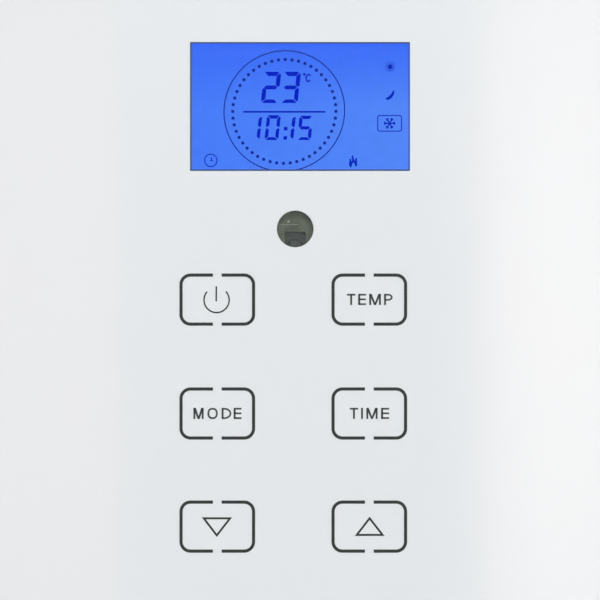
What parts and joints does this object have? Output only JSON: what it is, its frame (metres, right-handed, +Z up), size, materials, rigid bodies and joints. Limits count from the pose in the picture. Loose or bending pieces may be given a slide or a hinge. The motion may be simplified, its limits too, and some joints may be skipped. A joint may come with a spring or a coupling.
{
  "type": "convector heater",
  "caption": "Electronic convector heater: white steel body with louvred outlet on two feet, and a moulded control pod with backlit display and touch keys.",
  "frame": {"origin": "middle of the footprint, on the floor under the pads", "axes": "+Z up, the front with the display faces -Y, +X towards the control pod at the right end"},
  "size_m": [0.8, 0.23, 0.482],
  "materials": {
    "gloss_white": "gloss",
    "paint_white": "satin",
    "grille_white": "satin",
    "foot_grey": "fine grain",
    "pad_rubber": "matt",
    "window_clear": "polished",
    "display_blue": "backlit",
    "light_guide": "frosted",
    "window_smoked": "polished",
    "black_plastic": "fine grain",
    "rocker_black": "gloss",
    "board_green": "solder mask",
    "foam_black": "open foam",
    "plug_white": "moulded",
    "relay_blue": "moulded",
    "block_green": "moulded",
    "transformer_core": "varnished",
    "capacitor_sleeve": "sleeved",
    "cutout_brown": "moulded phenolic",
    "plain_steel": "zinc plated",
    "screw_steel": "zinc plated",
    "stud_brass": "turned",
    "fin_aluminium": "extruded",
    "bushing_ceramic": "fired",
    "sensor_resin": "dipped",
    "grommet_rubber": "matt",
    "live_brown": "sleeved",
    "return_blue": "sleeved",
    "earth_yellow": "sleeved",
    "lead_black": "sleeved"
  },
  "bodies": {
    "heater": {"board_screws": "screw_steel", "board_standoffs": "plug_white", "bottom_plate": "paint_white", "bottom_screws": "screw_steel", "cap_screws": "screw_steel", "capacitor": "capacitor_sleeve", "clamp_screws": "screw_steel", "control_board": "board_green", "cord_clamp": "plain_steel", "cord_gland": "black_plastic", "cutout_lead": "live_brown", "display_backlight": "light_guide", "display_glass": "display_blue", "display_lens": "window_clear", "earth_lead": "earth_yellow", "earth_stud": "stud_brass", "element_bushings": "bushing_ceramic", "element_core": "plain_steel", "foot_pads": "pad_rubber", "foot_screws": "screw_steel", "front_panel": "paint_white", "heat_shield": "plain_steel", "heating_element": "fin_aluminium", "lead_clips": "plug_white", "lead_grommets": "grommet_rubber", "left_cap": "gloss_white", "left_foot": "foot_grey", "left_plate": "plain_steel", "live_lead": "live_brown", "lug_screws": "screw_steel", "partition": "plain_steel", "pod_front": "gloss_white", "pod_rear": "gloss_white", "pod_screws": "screw_steel", "power_board": "board_green", "rear_panel": "paint_white", "rear_screws": "screw_steel", "receiver_module": "black_plastic", "receiver_window": "window_smoked", "relays": "relay_blue", "return_lead": "return_blue", "right_foot": "foot_grey", "room_sensor": "sensor_resin", "sensor_clip": "plug_white", "sensor_lead": "lead_black", "shield_screws": "screw_steel", "signal_lead": "lead_black", "signal_plugs": "plug_white", "switch_housing": "black_plastic", "switch_leads": "lead_black", "terminal_block": "block_green", "thermal_cutout": "cutout_brown", "tilt_case": "black_plastic", "tilt_lid": "black_plastic", "tilt_pin": "plain_steel", "top_grille": "grille_white", "touch_pads": "foam_black", "transformer": "transformer_core"},
    "rocker": {"switch_rocker": "rocker_black"},
    "pendulum": {"tilt_pendulum": "plain_steel"}
  },
  "joints": [
    {"name": "rocker_tilt", "type": "hinge", "parent": "heater", "child": "rocker", "pos_m": [0.391, 0.01, 0.11], "axis": [0, -1, 0], "range_deg": [0, 18]},
    {"name": "pendulum_swing", "type": "hinge", "parent": "heater", "child": "pendulum", "pos_m": [0.2267, 0.026, 0.104], "axis": [1, 0, 0], "range_deg": [-24, 24]}
  ]
}
